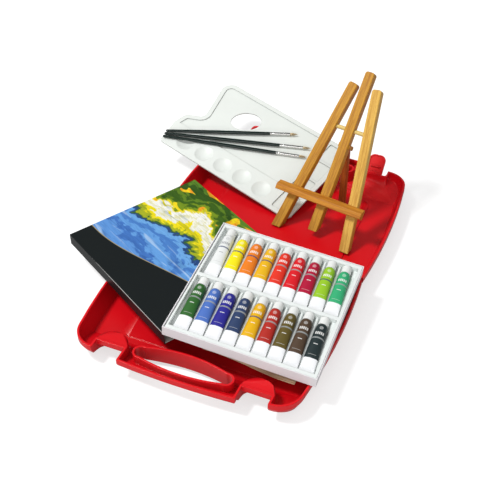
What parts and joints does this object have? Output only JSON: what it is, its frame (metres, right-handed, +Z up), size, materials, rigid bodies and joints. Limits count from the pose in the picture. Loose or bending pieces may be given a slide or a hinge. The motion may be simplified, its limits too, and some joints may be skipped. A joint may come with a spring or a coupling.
{
  "type": "acrylic paint case",
  "caption": "Hinged plastic carry case, opened flat, with a tray of capped paint tubes, palette, round brushes, table easel, carton and leaflet.",
  "frame": {"origin": "middle of the base shell's flat underside", "axes": "+X along the hinge, +Y from the handle side of the base across the hinge to the lid, +Z up"},
  "size_m": [0.3344, 0.4765, 0.1653],
  "materials": {
    "case_red": "glossy moulded red plastic",
    "carton_card": "printed gloss card",
    "tray_card": "white card",
    "insert_film": "thin formed white plastic",
    "leaflet_paper": "cream paper",
    "palette_white": "satin white plastic",
    "handle_lacquer": "dark lacquered wood",
    "ferrule_metal": "polished",
    "hair": "pale bristle",
    "easel_wood": "varnished pale wood",
    "rear_leg_wood": "reddish wood",
    "dowel_wood": "bare pale wood",
    "cap_white": "white plastic",
    "paint_01": "printed metal tube",
    "paint_02": "printed metal tube",
    "paint_03": "printed metal tube",
    "paint_04": "printed metal tube",
    "paint_05": "printed metal tube",
    "paint_06": "printed metal tube",
    "paint_07": "printed metal tube",
    "paint_08": "printed metal tube",
    "paint_09": "printed metal tube",
    "paint_10": "printed metal tube",
    "paint_11": "printed metal tube",
    "paint_12": "printed metal tube",
    "paint_13": "printed metal tube",
    "paint_14": "printed metal tube",
    "paint_15": "printed metal tube",
    "paint_16": "printed metal tube",
    "paint_17": "printed metal tube",
    "paint_18": "printed metal tube"
  },
  "bodies": {
    "base": {"base_shell": "case_red"},
    "lid": {"lid_shell": "case_red"},
    "latch_left": {"latch_tab_left": "case_red"},
    "latch_right": {"latch_tab_right": "case_red"},
    "carton": {"carton": "carton_card"},
    "tray": {"card_tray": "tray_card", "blister_insert": "insert_film"},
    "leaflet": {"leaflet": "leaflet_paper"},
    "palette": {"palette": "palette_white"},
    "easel": {"easel_mast": "easel_wood", "easel_leg_left": "easel_wood", "easel_leg_right": "easel_wood", "easel_ledge": "easel_wood", "easel_dowel": "dowel_wood"},
    "rear_leg": {"easel_rear_leg": "rear_leg_wood"},
    "round_brush_small": {"round_brush_small_handle": "handle_lacquer", "round_brush_small_ferrule": "ferrule_metal", "round_brush_small_tuft": "hair"},
    "round_brush_large": {"round_brush_large_handle": "handle_lacquer", "round_brush_large_ferrule": "ferrule_metal", "round_brush_large_tuft": "hair"},
    "round_brush_medium": {"round_brush_medium_handle": "handle_lacquer", "round_brush_medium_ferrule": "ferrule_metal", "round_brush_medium_tuft": "hair"},
    "tube_01": {"paint_tube_01": "paint_01"},
    "cap_01": {"tube_cap_01": "cap_white"},
    "tube_02": {"paint_tube_02": "paint_02"},
    "cap_02": {"tube_cap_02": "cap_white"},
    "tube_03": {"paint_tube_03": "paint_03"},
    "cap_03": {"tube_cap_03": "cap_white"},
    "tube_04": {"paint_tube_04": "paint_04"},
    "cap_04": {"tube_cap_04": "cap_white"},
    "tube_05": {"paint_tube_05": "paint_05"},
    "cap_05": {"tube_cap_05": "cap_white"},
    "tube_06": {"paint_tube_06": "paint_06"},
    "cap_06": {"tube_cap_06": "cap_white"},
    "tube_07": {"paint_tube_07": "paint_07"},
    "cap_07": {"tube_cap_07": "cap_white"},
    "tube_08": {"paint_tube_08": "paint_08"},
    "cap_08": {"tube_cap_08": "cap_white"},
    "tube_09": {"paint_tube_09": "paint_09"},
    "cap_09": {"tube_cap_09": "cap_white"},
    "tube_10": {"paint_tube_10": "paint_10"},
    "cap_10": {"tube_cap_10": "cap_white"},
    "tube_11": {"paint_tube_11": "paint_11"},
    "cap_11": {"tube_cap_11": "cap_white"},
    "tube_12": {"paint_tube_12": "paint_12"},
    "cap_12": {"tube_cap_12": "cap_white"},
    "tube_13": {"paint_tube_13": "paint_13"},
    "cap_13": {"tube_cap_13": "cap_white"},
    "tube_14": {"paint_tube_14": "paint_14"},
    "cap_14": {"tube_cap_14": "cap_white"},
    "tube_15": {"paint_tube_15": "paint_15"},
    "cap_15": {"tube_cap_15": "cap_white"},
    "tube_16": {"paint_tube_16": "paint_16"},
    "cap_16": {"tube_cap_16": "cap_white"},
    "tube_17": {"paint_tube_17": "paint_17"},
    "cap_17": {"tube_cap_17": "cap_white"},
    "tube_18": {"paint_tube_18": "paint_18"},
    "cap_18": {"tube_cap_18": "cap_white"}
  },
  "joints": [
    {"name": "lid_hinge", "type": "hinge", "parent": "base", "child": "lid", "pos_m": [0, 0.10225, 0.02415], "axis": [1, 0, 0], "range_deg": [0, 180]},
    {"name": "latch_left_fold", "type": "hinge", "parent": "lid", "child": "latch_left", "pos_m": [-0.0815, 0.29675, 0.0236], "axis": [1, 0, 0], "range_deg": [-2, 44]},
    {"name": "latch_right_fold", "type": "hinge", "parent": "lid", "child": "latch_right", "pos_m": [0.0815, 0.29675, 0.0236], "axis": [1, 0, 0], "range_deg": [-42, 48]},
    {"name": "tray_lift", "type": "slide", "parent": "base", "child": "tray", "axis": [0, 0, 1], "range_m": [0, 0.95]},
    {"name": "carton_lift", "type": "slide", "parent": "base", "child": "carton", "axis": [0, 0, 1], "range_m": [0, 0.95]},
    {"name": "leaflet_lift", "type": "slide", "parent": "base", "child": "leaflet", "axis": [0, 0, 1], "range_m": [0, 0.95]},
    {"name": "palette_lift", "type": "slide", "parent": "base", "child": "palette", "axis": [0, 0, 1], "range_m": [0, 0.95]},
    {"name": "easel_lift", "type": "slide", "parent": "base", "child": "easel", "axis": [0, 0, 1], "range_m": [0, 0.95]},
    {"name": "rear_leg_fold", "type": "hinge", "parent": "easel", "child": "rear_leg", "pos_m": [0.0569, 0.24956, 0.08715], "axis": [0.9869, -0.1616, 0], "range_deg": [-38.9, 0]},
    {"name": "round_brush_small_lift", "type": "slide", "parent": "palette", "child": "round_brush_small", "axis": [0.0742, -0.2332, 0.9696], "range_m": [0, 0.06]},
    {"name": "round_brush_large_lift", "type": "slide", "parent": "palette", "child": "round_brush_large", "axis": [0.0742, -0.2332, 0.9696], "range_m": [0, 0.06]},
    {"name": "round_brush_medium_lift", "type": "slide", "parent": "palette", "child": "round_brush_medium", "axis": [0.0742, -0.2332, 0.9696], "range_m": [0, 0.06]},
    {"name": "tube_01_lift", "type": "slide", "parent": "tray", "child": "tube_01", "axis": [0.0858, -0.0501, 0.9951], "range_m": [0, 0.04]},
    {"name": "cap_01_turn", "type": "hinge", "parent": "tube_01", "child": "cap_01", "pos_m": [-0.02207, 0.08813, 0.05402], "axis": [-0.0691, 0.996, 0.0561], "continuous": true},
    {"name": "tube_02_lift", "type": "slide", "parent": "tray", "child": "tube_02", "axis": [0.0858, -0.0501, 0.9951], "range_m": [0, 0.04]},
    {"name": "cap_02_turn", "type": "hinge", "parent": "tube_02", "child": "cap_02", "pos_m": [-0.00524, 0.08872, 0.0526], "axis": [-0.0691, 0.996, 0.0561], "continuous": true},
    {"name": "tube_03_lift", "type": "slide", "parent": "tray", "child": "tube_03", "axis": [0.0858, -0.0501, 0.9951], "range_m": [0, 0.04]},
    {"name": "cap_03_turn", "type": "hinge", "parent": "tube_03", "child": "cap_03", "pos_m": [0.01159, 0.08932, 0.05118], "axis": [-0.0691, 0.996, 0.0561], "continuous": true},
    {"name": "tube_04_lift", "type": "slide", "parent": "tray", "child": "tube_04", "axis": [0.0858, -0.0501, 0.9951], "range_m": [0, 0.04]},
    {"name": "cap_04_turn", "type": "hinge", "parent": "tube_04", "child": "cap_04", "pos_m": [0.02842, 0.08991, 0.04975], "axis": [-0.0691, 0.996, 0.0561], "continuous": true},
    {"name": "tube_05_lift", "type": "slide", "parent": "tray", "child": "tube_05", "axis": [0.0858, -0.0501, 0.9951], "range_m": [0, 0.04]},
    {"name": "cap_05_turn", "type": "hinge", "parent": "tube_05", "child": "cap_05", "pos_m": [0.04525, 0.09051, 0.04833], "axis": [-0.0691, 0.996, 0.0561], "continuous": true},
    {"name": "tube_06_lift", "type": "slide", "parent": "tray", "child": "tube_06", "axis": [0.0858, -0.0501, 0.9951], "range_m": [0, 0.04]},
    {"name": "cap_06_turn", "type": "hinge", "parent": "tube_06", "child": "cap_06", "pos_m": [0.06208, 0.09111, 0.04691], "axis": [-0.0691, 0.996, 0.0561], "continuous": true},
    {"name": "tube_07_lift", "type": "slide", "parent": "tray", "child": "tube_07", "axis": [0.0858, -0.0501, 0.9951], "range_m": [0, 0.04]},
    {"name": "cap_07_turn", "type": "hinge", "parent": "tube_07", "child": "cap_07", "pos_m": [0.07891, 0.0917, 0.04549], "axis": [-0.0691, 0.996, 0.0561], "continuous": true},
    {"name": "tube_08_lift", "type": "slide", "parent": "tray", "child": "tube_08", "axis": [0.0858, -0.0501, 0.9951], "range_m": [0, 0.04]},
    {"name": "cap_08_turn", "type": "hinge", "parent": "tube_08", "child": "cap_08", "pos_m": [0.09574, 0.0923, 0.04407], "axis": [-0.0691, 0.996, 0.0561], "continuous": true},
    {"name": "tube_09_lift", "type": "slide", "parent": "tray", "child": "tube_09", "axis": [0.0858, -0.0501, 0.9951], "range_m": [0, 0.04]},
    {"name": "cap_09_turn", "type": "hinge", "parent": "tube_09", "child": "cap_09", "pos_m": [0.11257, 0.09289, 0.04265], "axis": [-0.0691, 0.996, 0.0561], "continuous": true},
    {"name": "tube_10_lift", "type": "slide", "parent": "tray", "child": "tube_10", "axis": [0.0858, -0.0501, 0.9951], "range_m": [0, 0.04]},
    {"name": "cap_10_turn", "type": "hinge", "parent": "tube_10", "child": "cap_10", "pos_m": [-0.01962, 0.00893, 0.04982], "axis": [-0.0691, 0.996, 0.0561], "continuous": true},
    {"name": "tube_11_lift", "type": "slide", "parent": "tray", "child": "tube_11", "axis": [0.0858, -0.0501, 0.9951], "range_m": [0, 0.04]},
    {"name": "cap_11_turn", "type": "hinge", "parent": "tube_11", "child": "cap_11", "pos_m": [-0.00279, 0.00952, 0.0484], "axis": [-0.0691, 0.996, 0.0561], "continuous": true},
    {"name": "tube_12_lift", "type": "slide", "parent": "tray", "child": "tube_12", "axis": [0.0858, -0.0501, 0.9951], "range_m": [0, 0.04]},
    {"name": "cap_12_turn", "type": "hinge", "parent": "tube_12", "child": "cap_12", "pos_m": [0.01404, 0.01012, 0.04698], "axis": [-0.0691, 0.996, 0.0561], "continuous": true},
    {"name": "tube_13_lift", "type": "slide", "parent": "tray", "child": "tube_13", "axis": [0.0858, -0.0501, 0.9951], "range_m": [0, 0.04]},
    {"name": "cap_13_turn", "type": "hinge", "parent": "tube_13", "child": "cap_13", "pos_m": [0.03087, 0.01071, 0.04556], "axis": [-0.0691, 0.996, 0.0561], "continuous": true},
    {"name": "tube_14_lift", "type": "slide", "parent": "tray", "child": "tube_14", "axis": [0.0858, -0.0501, 0.9951], "range_m": [0, 0.04]},
    {"name": "cap_14_turn", "type": "hinge", "parent": "tube_14", "child": "cap_14", "pos_m": [0.0477, 0.01131, 0.04413], "axis": [-0.0691, 0.996, 0.0561], "continuous": true},
    {"name": "tube_15_lift", "type": "slide", "parent": "tray", "child": "tube_15", "axis": [0.0858, -0.0501, 0.9951], "range_m": [0, 0.04]},
    {"name": "cap_15_turn", "type": "hinge", "parent": "tube_15", "child": "cap_15", "pos_m": [0.06453, 0.01191, 0.04271], "axis": [-0.0691, 0.996, 0.0561], "continuous": true},
    {"name": "tube_16_lift", "type": "slide", "parent": "tray", "child": "tube_16", "axis": [0.0858, -0.0501, 0.9951], "range_m": [0, 0.04]},
    {"name": "cap_16_turn", "type": "hinge", "parent": "tube_16", "child": "cap_16", "pos_m": [0.08136, 0.0125, 0.04129], "axis": [-0.0691, 0.996, 0.0561], "continuous": true},
    {"name": "tube_17_lift", "type": "slide", "parent": "tray", "child": "tube_17", "axis": [0.0858, -0.0501, 0.9951], "range_m": [0, 0.04]},
    {"name": "cap_17_turn", "type": "hinge", "parent": "tube_17", "child": "cap_17", "pos_m": [0.09819, 0.0131, 0.03987], "axis": [-0.0691, 0.996, 0.0561], "continuous": true},
    {"name": "tube_18_lift", "type": "slide", "parent": "tray", "child": "tube_18", "axis": [0.0858, -0.0501, 0.9951], "range_m": [0, 0.04]},
    {"name": "cap_18_turn", "type": "hinge", "parent": "tube_18", "child": "cap_18", "pos_m": [0.11502, 0.01369, 0.03845], "axis": [-0.0691, 0.996, 0.0561], "continuous": true}
  ],
  "couplings": [
    {"joint": "latch_left_fold", "follows": "lid_hinge", "ratio": 0.2},
    {"joint": "tray_lift", "follows": "lid_hinge", "m_per_rad": 0.3},
    {"joint": "carton_lift", "follows": "lid_hinge", "m_per_rad": 0.3},
    {"joint": "leaflet_lift", "follows": "lid_hinge", "m_per_rad": 0.3},
    {"joint": "palette_lift", "follows": "lid_hinge", "m_per_rad": 0.3},
    {"joint": "easel_lift", "follows": "lid_hinge", "m_per_rad": 0.3}
  ]
}
